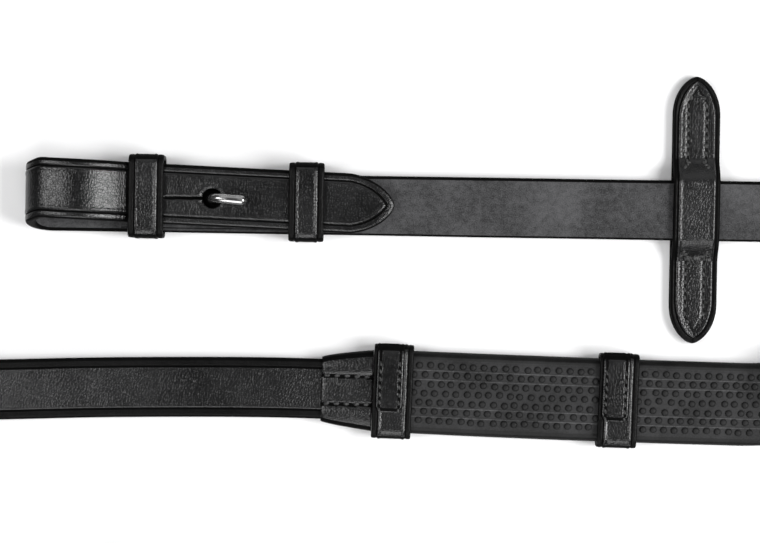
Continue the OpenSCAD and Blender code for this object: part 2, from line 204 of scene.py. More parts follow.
# ---- materials
def nodes_of(name, rough, metal=0.0, shine=0.5):
    m = bpy.data.materials.new(name)
    m.use_nodes = True
    nt = m.node_tree
    b = nt.nodes["Principled BSDF"]
    b.inputs["Roughness"].default_value = rough
    b.inputs["Metallic"].default_value = metal
    b.inputs["Specular IOR Level"].default_value = shine
    return m, nt, b


def add(nt, kind, **inputs):
    n = nt.nodes.new(kind)
    for k, v in inputs.items():
        n.inputs[k].default_value = v
    return n


def noises(nt, *settings):
    """The outputs of noise textures in object space, each from its scale, detail and roughness."""
    co = nt.nodes.new("ShaderNodeTexCoord").outputs["Object"]
    out = []
    for scale, detail, rough in settings:
        n = add(nt, "ShaderNodeTexNoise", Scale=scale, Detail=detail, Roughness=rough)
        nt.links.new(co, n.inputs["Vector"])
        out.append(n.outputs[0])
    return out


def ramp(nt, src, stops):
    r = nt.nodes.new("ShaderNodeValToRGB")
    while len(r.color_ramp.elements) < len(stops):
        r.color_ramp.elements.new(0.5)
    for e, (p, c) in zip(r.color_ramp.elements, stops):
        e.position = p
        e.color = (c[0], c[1], c[2], 1) if hasattr(c, "__len__") else (c, c, c, 1)
    nt.links.new(src, r.inputs[0])
    return r.outputs[0]


def maths(nt, op, a, b):
    n = nt.nodes.new("ShaderNodeMath")
    n.operation = op
    for i, v in enumerate((a, b)):
        if isinstance(v, (int, float)):
            n.inputs[i].default_value = v
        else:
            nt.links.new(v, n.inputs[i])
    return n.outputs[0]


def blend(nt, *terms):
    """The sum of (output, weight) pairs."""
    first = maths(nt, "MULTIPLY", *terms[0])
    return first if len(terms) == 1 else maths(nt, "ADD", first, blend(nt, *terms[1:]))


def bump(nt, b, height, strength, dist):
    n = add(nt, "ShaderNodeBump", Strength=strength, Distance=dist)
    nt.links.new(height, n.inputs["Height"])
    nt.links.new(n.outputs[0], b.inputs["Normal"])


def leather(name, dark, light, rough, wear, shine):
    """Dyed leather: fine cells and pores, soft patches of dye and rubbed high spots."""
    m, nt, b = nodes_of(name, rough, 0.0, shine)
    fine, mid, big = noises(nt, (2600.0, 4.0, 0.6), (420.0, 5.0, 0.6), (70.0, 3.0, 0.55))
    cells = add(nt, "ShaderNodeTexVoronoi", Scale=1500.0, Randomness=1.0)
    cells.feature = "DISTANCE_TO_EDGE"
    nt.links.new(nt.nodes["Texture Coordinate"].outputs["Object"], cells.inputs["Vector"])
    tone = blend(nt, (big, 0.55), (mid, 0.45))
    nt.links.new(ramp(nt, tone, [(0.36, dark), (0.64, light)]), b.inputs["Base Color"])
    rubbed = ramp(nt, blend(nt, (big, 0.5), (fine, 0.5)),
                  [(0.35, max(0.0, rough - wear * 0.5)), (0.68, min(1.0, rough + wear * 0.5))])
    nt.links.new(rubbed, b.inputs["Roughness"])
    pores = ramp(nt, cells.outputs[0], [(0.0, 0.0), (0.25, 1.0)])
    bump(nt, b, blend(nt, (pores, 0.5), (fine, 0.35), (mid, 0.5)), 0.5, 0.00011)
    return m


def suede(name, dark, light):
    """The flesh side: matt, fibrous, with a faint nap."""
    m, nt, b = nodes_of(name, 0.85, 0.0, 0.2)
    fine, mid, big = noises(nt, (3200.0, 6.0, 0.75), (600.0, 4.0, 0.7), (60.0, 2.0, 0.5))
    tone = blend(nt, (fine, 0.5), (mid, 0.25), (big, 0.25))
    nt.links.new(ramp(nt, tone, [(0.42, dark), (0.6, light)]), b.inputs["Base Color"])
    b.inputs["Sheen Weight"].default_value = 0.08
    b.inputs["Sheen Roughness"].default_value = 0.5
    bump(nt, b, blend(nt, (fine, 0.7), (mid, 1.0)), 0.6, 0.0001)
    return m


def rubber_mat(name, dark, light, shine=0.25):
    """Moulded rubber, matt and a little dusty."""
    m, nt, b = nodes_of(name, 0.6, 0.0, shine)
    fine, big = noises(nt, (2200.0, 5.0, 0.7), (110.0, 3.0, 0.6))
    tone = blend(nt, (fine, 0.5), (big, 0.5))
    nt.links.new(ramp(nt, tone, [(0.38, dark), (0.62, light)]), b.inputs["Base Color"])
    nt.links.new(ramp(nt, tone, [(0.3, 0.5), (0.7, 0.72)]), b.inputs["Roughness"])
    bump(nt, b, fine, 0.4, 0.00008)
    return m


def steel_mat(name, dark, light):
    """Steel with a faint haze of wear."""
    m, nt, b = nodes_of(name, 0.2, 1.0)
    haze, = noises(nt, (500.0, 4.0, 0.6))
    nt.links.new(ramp(nt, haze, [(0.3, dark), (0.7, light)]), b.inputs["Base Color"])
    nt.links.new(ramp(nt, haze, [(0.3, 0.16), (0.7, 0.32)]), b.inputs["Roughness"])
    bump(nt, b, haze, 0.12, 0.00005)
    return m


def thread_mat(name, dark, light):
    """Waxed thread, its fibres only in the bump."""
    m, nt, b = nodes_of(name, 0.65, 0.0, 0.2)
    fibre, = noises(nt, (1800.0, 3.0, 0.5))
    nt.links.new(ramp(nt, fibre, [(0.35, dark), (0.65, light)]), b.inputs["Base Color"])
    bump(nt, b, fibre, 0.5, 0.00006)
    return m


GRAIN = leather("black_leather", (0.002, 0.002, 0.0021), (0.009, 0.009, 0.0094), 0.24, 0.1, 0.45)
# painted shade: darker, duller leather for the rims beyond the creases and the undersides of bands, where the
# surface falls away from the light
RIM_SHADE = leather("rim_leather_painted_shade", (0.001, 0.001, 0.001), (0.003, 0.003, 0.003), 0.4, 0.2, 0.1)
# painted shade: near-black, dull leather for the straps' edges and for creases, bends, stitch channels and
# holes, where shade falls
EDGE_AND_CREASE_SHADE = leather("edge_and_crease_shade_leather", (0.0012, 0.0012, 0.0012), (0.003, 0.003, 0.003), 0.6, 0.2, 0.03)
FLESH = suede("flesh_leather", (0.016, 0.016, 0.0165), (0.085, 0.085, 0.088))
RUBBER = rubber_mat("grip_rubber", (0.007, 0.007, 0.0072), (0.028, 0.028, 0.0288))
# painted shade: darker rubber for the sleeve's rounded edges and the feet of the pips
RUBBER_SHADE = rubber_mat("grip_rubber_shaded", (0.003, 0.003, 0.003), (0.01, 0.01, 0.01), 0.1)
RUBBER_RIB = rubber_mat("grip_rubber_rib", (0.01, 0.01, 0.0103), (0.078, 0.078, 0.08))
# painted shade: darker rubber for the pips, standing in for their shading, and for a band just inside the
# sleeve's edges
PIP_SHADE = rubber_mat("grip_rubber_pip_shade", (0.003, 0.003, 0.003), (0.014, 0.014, 0.0143))
STEEL = steel_mat("polished_steel", 0.3, 0.45)
# painted shade: near-black steel for the stud's base, which shows only inside the hole
HOLE_SHADE_STEEL = steel_mat("hole_shade_steel", 0.004, 0.01)
THREAD = thread_mat("thread", (0.012, 0.012, 0.012), (0.075, 0.075, 0.075))
# LEATHERS by index: 0 grain, 1 near-black edge leather and 3 darker rim leather, both painted shade, 2 flesh
LEATHERS = [GRAIN, EDGE_AND_CREASE_SHADE, FLESH, RIM_SHADE]


# ---- mesh helpers
def make(name, verts, faces, mats, body="reins", mat_ids=None, replaces=()):
    """An object from points in the lay's millimetres."""
    v = (np.asarray(verts, float) - MID) / 1000
    me = bpy.data.meshes.new(name)
    me.from_pydata(v.tolist(), [], [list(map(int, f)) for f in faces])
    for m in mats:
        me.materials.append(m)
    if mat_ids is not None:
        me.polygons.foreach_set("material_index", np.asarray(mat_ids, np.int32))
    me.polygons.foreach_set("use_smooth", np.full(len(me.polygons), True))
    me.update()
    ob = bpy.data.objects.new(name, me)
    bpy.context.collection.objects.link(ob)
    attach(ob, body)
    if replaces:
        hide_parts(*replaces)
    return ob


def tube_faces(n, m):
    """Quads between n closed rings of m points, then the two end caps."""
    i, j = np.meshgrid(np.arange(n - 1), np.arange(m), indexing="ij")
    k = (j + 1) % m
    f = np.stack([i * m + j, i * m + k, (i + 1) * m + k, (i + 1) * m + j], -1).reshape(-1, 4)
    return f.tolist() + [list(range(m))[::-1], [(n - 1) * m + q for q in range(m)]]


def outward(me):
    """Turn all the mesh's faces outward."""
    bm = bmesh.new()
    bm.from_mesh(me)
    bmesh.ops.recalc_face_normals(bm, faces=bm.faces)
    bm.to_mesh(me)
    bm.free()


def swell(seed, count=7, lo=0.3, hi=1.4):
    """A smooth random field of two lengths, in millimetres, from a few waves."""
    rng = np.random.default_rng(seed)
    ang = rng.uniform(0, 2 * np.pi, count)
    k = rng.uniform(lo, hi, count)
    ph = rng.uniform(0, 2 * np.pi, count)

    def f(a, b):
        waves = [np.sin(k[i] * (a * np.cos(ang[i]) + b * np.sin(ang[i])) + ph[i]) for i in range(count)]
        return sum(waves) / count
    return f


def strap_section(w, t, r=0.9, crease=STRAP_CREASE, depth=0.22, n=30, dome=0.12):
    """Loop of (x, y, kind) points. The grain face is +y; kind is 0 grain, 1 edge, 2 flesh."""
    half = w / 2
    xs = np.linspace(half - r, -half + r, n)
    # more points near the creases
    if crease:
        near = (-0.4, -0.22, -0.1, 0.0, 0.1, 0.22, 0.4)
        extra = [c + d for c in (half - crease, -half + crease) for d in near]
        xs = np.array(sorted(set(np.round(np.r_[xs, extra], 3)), reverse=True))

    def top(x):
        y = t / 2 - dome * (abs(x) / half) ** 4
        if crease:
            g = (abs(x) - (half - crease)) / 0.17
            y -= depth * np.exp(-g * g)
            shoulder = (half - abs(x) - crease - 0.7) / 0.35
            y += 0.08 * np.exp(-shoulder * shoulder)
        return y

    def edge(a, side):
        """A point of the rounded edge, a degrees down from the grain."""
        q = math.radians(a)
        y = (t / 2 - r * 0.85) * (1 if a < 90 else -1 if a > 90 else 0) + r * 0.85 * math.cos(q)
        return side * (half - r + r * math.sin(q)), y - (dome if a < 90 else 0), 1
    turns = (25, 50, 75, 90, 105, 130, 155)
    pts = [(x, top(x), 0) for x in xs]
    pts += [edge(a, -1) for a in turns]
    pts += [(x, -t / 2, 2) for x in np.linspace(-half + r, half - r, 14)]
    pts += [edge(a, 1) for a in turns[::-1]]
    return np.array(pts)


def tube_ids(tones, n):
    """Material places for tube_faces of n rings: one ring's tones along the tube, and the edge leather,
    painted near black as shade, at the caps.
    """
    return np.r_[np.tile(tones, n - 1), [1, 1]]


def strap_tones(sec, w, crease=STRAP_CREASE):
    """Each point's place in LEATHERS, as painted shade: the crease is painted black and the rim beyond it
    darker and duller.
    """
    tones = sec[:, 2].astype(int)
    inset = w / 2 - np.abs(sec[:, 0])
    grain = tones == 0
    tones[grain & (inset < crease)] = 3
    tones[grain & (np.abs(inset - crease) < 0.24)] = 1
    return tones


def loft(p, across, up, prof):
    """Points of a section carried along: prof is (m, 2) or (n, m, 2)."""
    if prof.ndim == 2:
        prof = np.repeat(prof[None], len(p), 0)
    return p[:, None] + prof[..., :1] * across[:, None] + prof[..., 1:2] * up[:, None]


def strap(name, route, s0, s1, step, seed, flip=False):
    """A strap along a route, with its grain face up, or down if flip."""
    s = np.linspace(s0, s1, max(2, int((s1 - s0) / step) + 1))
    p, _, across, up = route.frame(s)
    if flip:
        across, up = -across, -up
    sec = strap_section(STRAP_W, STRAP_T)
    kind = sec[:, 2]
    n, m = len(s), len(sec)
    prof = np.repeat(sec[None, :, :2], n, 0)
    long_wave = swell(seed, 6, 0.02, 0.12)
    wrinkle = swell(seed + 7, 9, 0.25, 0.9)
    nap = swell(seed + 5, 8, 0.3, 1.4)
    ss = s[:, None] * np.ones(m)
    xx = prof[..., 0].copy()
    prof[..., 0] *= 1 + 0.12 / STRAP_W * 2 * long_wave(ss, 0 * xx)
    # creases across the grain where the strap has been bent, and an uneven flesh side
    grain = (kind == 0)[None, :] * (0.05 * wrinkle(ss, xx * 0.25) + 0.05 * long_wave(ss * 1.5, xx))
    fleshy = (kind == 2)[None, :] * 0.04 * nap(ss, xx)
    prof[..., 1] += grain - fleshy
    v = loft(p, across, up, prof).reshape(-1, 3)
    ids = tube_ids(strap_tones(sec, STRAP_W), n)
    return make(name, v, tube_faces(n, m), LEATHERS, mat_ids=ids), p


def declare(ob, centres, dia, with_pieces=()):
    """Turns the centre line into metres and the pieces into a list, and does nothing more: the frame is told
    nothing.
    """
    c = ((np.asarray(centres, float) - MID) / 1000).tolist()
    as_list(with_pieces)


# ---- straps
RUN_FROM = 32.0
declare(*strap("left_strap_run", LEFT, RUN_FROM, COVER_S - 0.3, 1.0, 11, flip=True),
        STRAP_W)
declare(*strap("right_strap_run", RIGHT, RUN_FROM, COVER_S - 0.3, 1.0, 23), STRAP_W)
declare(*strap("left_rear_run", LEFT, REAR_S + 0.4, LEFT.total - 20, 1.2, 31, flip=True), STRAP_W)


# ---- rubber grips
ROWS, ROW_PITCH, BUMP_PITCH = 7, 2.45, 2.85


def grip_section():
    """Flat on both faces, with smooth rounded bands at the edges and thin ribs between some rows."""
    half, r, t = GRIP_W / 2, 1.9, 4.7
    xs = np.linspace(half - r, -half + r, 75)

    def top(x):
        y = t / 2 - 0.22 * (abs(x) / half) ** 6
        for rib in (-2.5, -1.5, 1.5, 2.5):
            g = (x - rib * ROW_PITCH) / 0.13
            y += 0.14 * math.exp(-g * g)
        g = (abs(x) - 8.75) / 0.16
        return y - 0.16 * math.exp(-g * g)
    pts = [(x, top(x)) for x in xs]
    arc = []
    e = top(half - r)
    for a in range(15, 180, 15):
        q = math.radians(a)
        arc.append((half - r + r * math.sin(q), e * math.cos(q)))
    pts += [(-x, y) for x, y in arc]
    pts += [(x, -top(x)) for x in xs[::-1]]
    pts += [(x, -y) for x, y in arc]
    return np.array(pts), top


def grip(side, route):
    """A rubber sleeve with its pips on both faces. Gives the sleeve and its centre line."""
    sec, top = grip_section()
    s = np.r_[np.arange(COVER_S + 0.1, CLOSE_S + STOP_LEN / 2 - 0.2, 1.1), CLOSE_S + STOP_LEN / 2 - 0.2]
    p, _, across, up = route.frame(s)
    wide = swell(side + 40, 6, 0.02, 0.1)
    prof = np.repeat(sec[None], len(s), 0)
    prof[..., 0] *= 1 + 0.012 * wide(s[:, None], 0 * sec[None, :, 0]) + 0.006
    v = loft(p, across, up, prof).reshape(-1, 3)
    n, m = len(s), len(sec)
    name = SIDES[side]
    x = np.abs(sec[:, 0])
    on_face = np.abs(sec[:, 1]) > 1.9
    rib = np.minimum(np.abs(x - 1.5 * ROW_PITCH), np.abs(x - 2.5 * ROW_PITCH)) < 0.17
    # painted shade: the rounded edges are darkest, a band just inside them gets the darker pip rubber; the
    # ribs get the lighter rib rubber
    tones = np.where(x > 9.9, 1, np.where(rib & on_face, 2, np.where(x > 9.0, 3, 0)))
    ob = make(name + "_rubber_sleeve", v, tube_faces(n, m), [RUBBER, RUBBER_SHADE, RUBBER_RIB, PIP_SHADE],
              mat_ids=tube_ids(tones, n),
              replaces=(name + "_rubber_grip", name + "_grip_core"))
    # pips: low rounded studs, alternate rows set half a pitch on
    rings = [(1.02, -0.12), (0.94, 0.3), (0.7, 0.5), (0.4, 0.58)]
    k = 10
    ang = np.arange(k) * 2 * np.pi / k
    dome = np.array([[r * np.cos(a), r * np.sin(a), z] for r, z in rings for a in ang] + [[0, 0, 0.6]])
    dome[:, :2] *= 0.92
    tip = len(rings) * k
    quads = tube_faces(len(rings), k)[:-2]
    tris = [[tip - k + j, tip - k + (j + 1) % k, tip] for j in range(k)]
    ss, uu, hh = [], [], []
    stops = [stop_s(q) for q in range(STOP_COUNT)] + [CLOSE_S]
    rng = np.random.default_rng(5 + side)
    for row in range(ROWS):
        u = (row - 3) * ROW_PITCH
        for q in range(int(GRIP_LEN / BUMP_PITCH)):
            x = FRONT_LEN + 14.6 + q * BUMP_PITCH + (row % 2) * BUMP_PITCH / 2
            if x > CLOSE_S + 4 or min(abs(x - b) for b in stops) < STOP_LEN / 2 - 0.6:
                continue
            for face in (1, -1):
                ss.append(x + rng.normal(0, 0.16))
                uu.append(u + rng.normal(0, 0.1))
                hh.append(face)
    ss, uu, hh = np.array(ss), np.array(uu), np.array(hh)
    p, tan, across, up = route.frame(ss)
    base = p + uu[:, None] * across + (hh * np.array([top(x) for x in uu]))[:, None] * up
    pts = (base[:, None] + dome[None, :, 0:1] * tan[:, None]
           + dome[None, :, 1:2] * (across * hh[:, None])[:, None]
           + dome[None, :, 2:3] * (up * hh[:, None])[:, None])
    off = (np.arange(len(ss)) * len(dome))[:, None, None]
    faces = (np.array(quads)[None] + off).reshape(-1, 4).tolist()
    faces += (np.array(tris)[None] + off).reshape(-1, 3).tolist()
    # the faces round a pip's foot get the painted shade; the rest of each pip gets the darker pip rubber,
    # also painted shade
    shaded = np.array([1 if i < k else 0 for i in range(len(quads))])
    ids = np.r_[np.tile(shaded, len(ss)), np.zeros(len(tris) * len(ss), int)]
    make(name + "_grip_pips", pts.reshape(-1, 3), faces, [PIP_SHADE, RUBBER_SHADE], mat_ids=ids)
    return ob, route.at(s)


declare(*grip(0, LEFT), GRIP_W)
declare(*grip(1, RIGHT), GRIP_W)


# ---- stitches
def stitches(name, places, along, out, length, dia, body="reins", tilt=0.18, replaces=()):
    """Short thread segments: places on the surface, with the row's direction and the outward direction."""
    places, along, out = (np.asarray(a, float) for a in (places, along, out))
    along, out = unit(along), unit(out)
    side = np.cross(out, along)
    a2 = along * math.cos(tilt) + side * math.sin(tilt)
    s2 = np.cross(out, a2)
    rows, k = 7, 8
    vs = []
    for i in range(rows):
        t = -1 + 2 * i / (rows - 1)
        r = dia / 2 * math.sqrt(max(0.02, 1 - abs(t) ** 3.2))
        bow = -0.42 * abs(t) ** 3
        for j in range(k):
            q = 2 * math.pi * j / k
            vs.append((t * length / 2, r * math.cos(q), r * math.sin(q) * 0.8 + bow + dia * 0.22 - 0.12))
    vs = np.array(vs)
    pts = (places[:, None] + vs[None, :, 0:1] * a2[:, None] + vs[None, :, 1:2] * s2[:, None]
           + vs[None, :, 2:3] * out[:, None])
    faces = [[q + i * rows * k for q in g] for i in range(len(places)) for g in tube_faces(rows, k)]
    return make(name, pts.reshape(-1, 3), faces, [THREAD], body=body, replaces=replaces)


# ---- chapes
def chape_width(f):
    """A chape's width at a fraction of the way to the grip."""
    return 17.1 + 4.5 * f ** 0.7


def chape(name, route, s0, s1, node, seed, flip_ends=False):
    """The leather cover over the joint of strap and grip: rolled edges and a sewn panel."""
    s = np.linspace(s0, s1, 44)
    p, _, across, up = route.frame(s)
    f = np.linspace(0, 1, len(s))
    if flip_ends:
        f = f[::-1]
    row_x = 3.73
    rings = []
    wob = swell(seed, 8, 0.2, 0.8)
    for i, q in enumerate(f):
        half = chape_width(q) / 2
        t0, bulge = 2.05 + 0.45 * q, 0.35 + 0.35 * q
        end = min(1.0, q / 0.04) if q < 0.04 else 1.0

        def top(x):
            a = abs(x)
            if a < row_x:
                y = t0 + 0.1 * (1 - (a / row_x) ** 2)
            else:
                z = (a - row_x) / (half - row_x)
                y = t0 + bulge * math.sin(math.pi * min(z, 1.0) ** 0.8) - 0.5 * max(0.0, z - 0.6)
            g = (a - row_x) / 0.28
            return y - 0.32 * math.exp(-g * g)
        xs = np.linspace(half - 0.9, -half + 0.9, 52)
        e = top(half - 0.9)
        turns = [math.radians(a) for a in range(20, 180, 20)]
        arc = [(half - 0.9 + 0.9 * math.sin(a), e * math.cos(a)) for a in turns]
        ring = np.array([(x, top(x)) for x in xs] + [(-x, y) for x, y in arc]
                        + [(x, -top(x)) for x in xs[::-1]] + [(x, -y) for x, y in arc])
        ring[:, 1] += np.sign(ring[:, 1]) * 0.06 * wob(s[i] * np.ones(len(ring)), ring[:, 0])
        ring[:, 1] *= 0.9 + 0.1 * end
        rings.append(ring)
    v = loft(p, across, up, np.array(rings)).reshape(-1, 3)
    width = np.array([chape_width(q) / 2 for q in f])[:-1, None]
    x = np.array(rings)[:-1, :, 0]
    # painted shade: the stitch channels and the rolled sides, where the cover falls away, get the near-black
    # edge leather
    tones = np.where((np.abs(np.abs(x) - row_x) < 0.5) | (np.abs(x) > width - 1.5), 1, 0).ravel()
    make(name, v, tube_faces(len(s), len(rings[0])), LEATHERS, mat_ids=np.r_[tones, [1, 1]], replaces=(node,))
    rows = []
    for face in (1, -1):
        for side in (-1, 1):
            for k in range(5):
                q = s0 + (s1 - s0) * (k + 0.55) / 5.1
                ff = (q - s0) / (s1 - s0)
                ff = 1 - ff if flip_ends else ff
                pp, tt, aa, uu = route.frame(q)
                h = 2.05 + 0.45 * ff - 0.12
                rows.append((pp[0] + side * row_x * aa[0] + face * h * uu[0], tt[0], face * uu[0]))
    stitches(name + "_stitches", *zip(*rows), length=1.75, dia=0.95)


chape("left_front_cover", LEFT, FRONT_LEN, COVER_S, "left_front_chape", 3)
chape("right_front_cover", RIGHT, FRONT_LEN, COVER_S, "right_front_chape", 4)
chape("left_rear_cover", LEFT, REAR_S, REAR_S + 13.6, "left_rear_chape", 5, flip_ends=True)
chape("right_rear_cover", RIGHT, REAR_S, REAR_S + 13.6, "right_rear_chape", 6, flip_ends=True)


# ---- hand stops
def loop_line(hw, ht, r, n):
    """A closed line round a flat rectangle with round corners, as (x, y, nx, ny)."""
    pts = []
    for cx, cy, a0 in ((-hw + r, ht - r, 90), (-hw + r, -ht + r, 180),
                       (hw - r, -ht + r, 270), (hw - r, ht - r, 0)):
        for k in range(n):
            a = math.radians(a0 + 90 * k / (n - 1))
            pts.append((cx + r * math.cos(a), cy + r * math.sin(a), math.cos(a), math.sin(a)))
    return np.array(pts)


def band_line(hw, ht, r, n, step):
    """loop_line with even spacing on its long sides."""
    line = loop_line(hw, ht, r, n)
    pts = []
    for i in range(len(line)):
        a, b = line[i], line[(i + 1) % len(line)]
        m = max(1, int(np.hypot(*(b - a)[:2]) / step))
        pts += [a + (b - a) * j / m for j in range(m)]
    line = np.array(pts)
    line[:, 2:] /= np.linalg.norm(line[:, 2:], axis=1)[:, None]
    return line


def band_faces(n, m):
    """Quads round a closed band of n rings of m points."""
    return [[i * m + j, (i + 1) % n * m + j, (i + 1) % n * m + (j + 1) % m, i * m + (j + 1) % m]
            for i in range(n) for j in range(m)]


def band_section(w, t, crease=1.45, depth=0.16, n=22, r=0.35):
    """A strip's section: (along, out) with out from 0 to t, the outer face creased."""
    half = w / 2
    # more points near the creases
    near = (-0.9, -0.6, -0.45, -0.3, -0.15, 0, 0.15, 0.3, 0.45, 0.6, 0.9)
    extra = [c + d for c in (-half + crease, half - crease) for d in near]
    xs = sorted(set(np.round(np.r_[np.linspace(-half + r, half - r, n), extra], 3)))

    def top(x):
        g = (half - abs(x) - crease) / 0.15
        shoulder = (half - abs(x) - crease - 0.6) / 0.32
        y = t - depth * math.exp(-g * g) + 0.15 * math.exp(-shoulder * shoulder)
        return y - 0.10 * (abs(x) / half) ** 8
    pts = [(x, top(x)) for x in xs]
    pts += [(half - r * 0.3, t - r * 0.5), (half, t - r * 1.3), (half, r * 0.6), (half - r * 0.6, 0)]
    pts += [(x, 0) for x in np.linspace(half - 1, -half + 1, 5)]
    pts += [(-half + r * 0.6, 0), (-half, r * 0.6), (-half, t - r * 1.3), (-half + r * 0.3, t - r * 0.5)]
    return np.array(pts)


def band_tones(line, sec, w, crease=1.45):
    """LEATHERS for a closed band's faces, as painted shade: black where it bends and in its creases, darker
    and duller at its rims and on its underside.
    """
    inset = w / 2 - np.abs(sec[:, 0])
    across = np.where(inset < crease, 3, 0)
    across[np.abs(inset - crease) < 0.24] = 1
    up = line[:, 3]
    rows = []
    for k in range(len(line)):
        rows.append(across if up[k] > 0.8 else 0 * across + (1 if up[k] >= 0 else 3))
    return np.concatenate(rows)


# the loop round the grip, and its end that laps over the front
LOOP_HW, LOOP_HT, LOOP_BEND, BAND_T = 11.35, 3.15, 1.5, 1.2
FLAP_W, FLAP_T, FLAP_OFF, FLAP_CREASE = 7.4, 0.62, -0.85, 1.15
FLAP_ROWS, FLAP_COLS = 40, 21


def hand_stop(side, route, k):
    """The k-th leather loop sewn round a grip."""
    name = SIDES[side]
    s = stop_s(k) if k < STOP_COUNT else CLOSE_S
    rng = np.random.default_rng(100 * side + k)
    p, tan, across, up = (a[0] for a in route.frame(s))
    side_t = np.cross(across, up)
    side_t /= np.linalg.norm(side_t)
    if side_t @ tan < 0:
        side_t = -side_t
    skew = 0.02 + 0.015 * rng.normal()
    line = band_line(LOOP_HW, LOOP_HT, LOOP_BEND, 9, 0.8)
    sec = band_section(STOP_LEN, BAND_T)
    wob = swell(7 * k + side, 7, 0.2, 0.8)

    def put(x, y, nx, ny, along, out):
        yy = y + ny * out
        xx = x + nx * out
        return p + across * xx + up * yy + side_t * (along + skew * xx)
    v = []
    for x, y, nx, ny in line:
        for a, o in sec:
            o2 = o + (0.05 * wob(x, a) if o > 0.5 else 0)
            v.append(put(x, y, nx, ny, a * (1 + 0.012 * wob(x, 0.0)), o2))
    faces = band_faces(len(line), len(sec))
    # the end that laps over the front: from round the far edge to three quarters of the way down
    ys = np.linspace(11.2, -5.6, FLAP_ROWS)
    base = len(v)
    corner = LOOP_HW - LOOP_BEND
    for x in ys:
        d = x - ys[-1]
        # the corners of the end are cut off
        hw = FLAP_W / 2 - max(0.0, 1.5 - d) * 0.8
        for c in range(FLAP_COLS):
            u = -1 + 2 * c / (FLAP_COLS - 1)
            a = u * hw
            edge = (1 - abs(u)) * hw
            lift = FLAP_T * min(1.0, math.sqrt(max(0.0, min(edge, d + 0.05) / 0.35)))
            g = (edge - FLAP_CREASE) / 0.22
            lift -= 0.13 * math.exp(-g * g)
            xx, yy, nx, ny = x, LOOP_HT, 0.0, 1.0
            if x > corner:
                ang = math.asin(min(1.0, (x - corner) / LOOP_BEND))
                nx, ny = math.sin(ang), math.cos(ang)
                xx, yy = corner + LOOP_BEND * nx, LOOP_HT - LOOP_BEND + LOOP_BEND * ny
            v.append(put(xx, yy, nx, ny, a + FLAP_OFF, BAND_T - 0.04 + lift + 0.04 * wob(x * 1.3, a)))
    flap_tones = []
    for i in range(FLAP_ROWS - 1):
        for c in range(FLAP_COLS - 1):
            q = base + i * FLAP_COLS + c
            faces.append([q, q + 1, q + FLAP_COLS + 1, q + FLAP_COLS])
            inset = min(FLAP_W / 2 * (1 - abs(-1 + 2 * (c + 0.5) / (FLAP_COLS - 1))), ys[i] - ys[-1])
            # painted shade: the flap's edges, its crease and the part round the far edge are painted near
            # black
            black = inset < 0.25 or abs(inset - FLAP_CREASE) < 0.3 or ys[i] > 10.6
            flap_tones.append(1 if black else 0)
    ids = np.r_[band_tones(line, sec, STOP_LEN), flap_tones]
    ob = make(f"{name}_hand_loop_{k + 1}", v, faces, LEATHERS, mat_ids=ids,
              replaces=(f"{name}_hand_stop_{k + 1}",))
    outward(ob.data)
    places = [put(7.4 - j * 2.05, LOOP_HT, 0.0, 1.0, e * (FLAP_W / 2 - FLAP_CREASE) + FLAP_OFF,
                  BAND_T - 0.04 + FLAP_T - 0.08) for e in (-1, 1) for j in range(7)]
    stitches(f"{name}_hand_loop_stitches_{k + 1}", places, [across] * len(places), [up] * len(places),
             length=1.65, dia=0.62, tilt=0.35)


for k in range(STOP_COUNT + 1):
    hand_stop(0, LEFT, k)
    hand_stop(1, RIGHT, k)


# ---- bit ends
LOOP_R, LOOP_OUT = 3.75, 6.75
BILL_Z = 8.3
TIP_X = 98.0
ASKEW = math.tan(math.radians(2))
HOLE_X, HOLE_Y = 49.3, 1.2
CREASE_IN = 2.1


def spline(pts, step):
    """Smooth line through the points, at an even spacing."""
    out = smooth(np.array(pts, float), 24)
    s = np.r_[0, np.cumsum(np.linalg.norm(np.diff(out, axis=0), axis=1))]
    q = np.linspace(0, s[-1], max(3, int(s[-1] / step) + 1))
    return np.stack([np.interp(q, s, out[:, j]) for j in range(out.shape[1])], -1), q


def place_bit(side, p):
    """From the bit end's own coordinates into the lay's."""
    p = np.asarray(p, float)
    if side == 0:
        return p + np.array([BIT_X, LANE_L, 0])
    return p * np.array([-1, -1, 1]) + np.array([BIT_R_X, LANE_R, 0])


def point_width(d, full=8.0, reach=12.4):
    """Half width of a strap's pointed end, d from its tip."""
    d = np.clip(d / reach, 0, 1)
    return full * (1 - (1 - d) ** 1.7) ** 0.62


def cutter(verts, faces):
    """A closed solid in the lay's millimetres, to be cut out of a piece."""
    me = bpy.data.meshes.new("cut")
    me.from_pydata(((np.asarray(verts, float) - MID) / 1000).tolist(), [], faces)
    # the cut faces take the second material, the near-black edge leather, so the walls of holes and slots are
    # painted shade
    me.polygons.foreach_set("material_index", np.full(len(me.polygons), 1, np.int32))
    ob = bpy.data.objects.new("cut", me)
    bpy.context.collection.objects.link(ob)
    outward(me)
    return ob


def pierce(ob, cutters):
    """Cut the cutters out of the piece for good."""
    for c in cutters:
        mod = ob.modifiers.new("cut", "BOOLEAN")
        mod.operation = "DIFFERENCE"
        mod.solver = "EXACT"
        mod.object = c
    dg = bpy.context.evaluated_depsgraph_get()
    me = bpy.data.meshes.new_from_object(ob.evaluated_get(dg))
    ob.modifiers.clear()
    old = ob.data
    ob.data = me
    bpy.data.meshes.remove(old)
    for c in cutters:
        bpy.data.objects.remove(c)


def round_cut(centre, r, h0, h1, place, n=40):
    """A cutter for a round, upright hole."""
    v = [(centre[0] + r * math.cos(2 * math.pi * i / n), centre[1] + r * math.sin(2 * math.pi * i / n), h)
         for h in (h0, h1) for i in range(n)]
    return cutter(place(v), tube_faces(2, n))


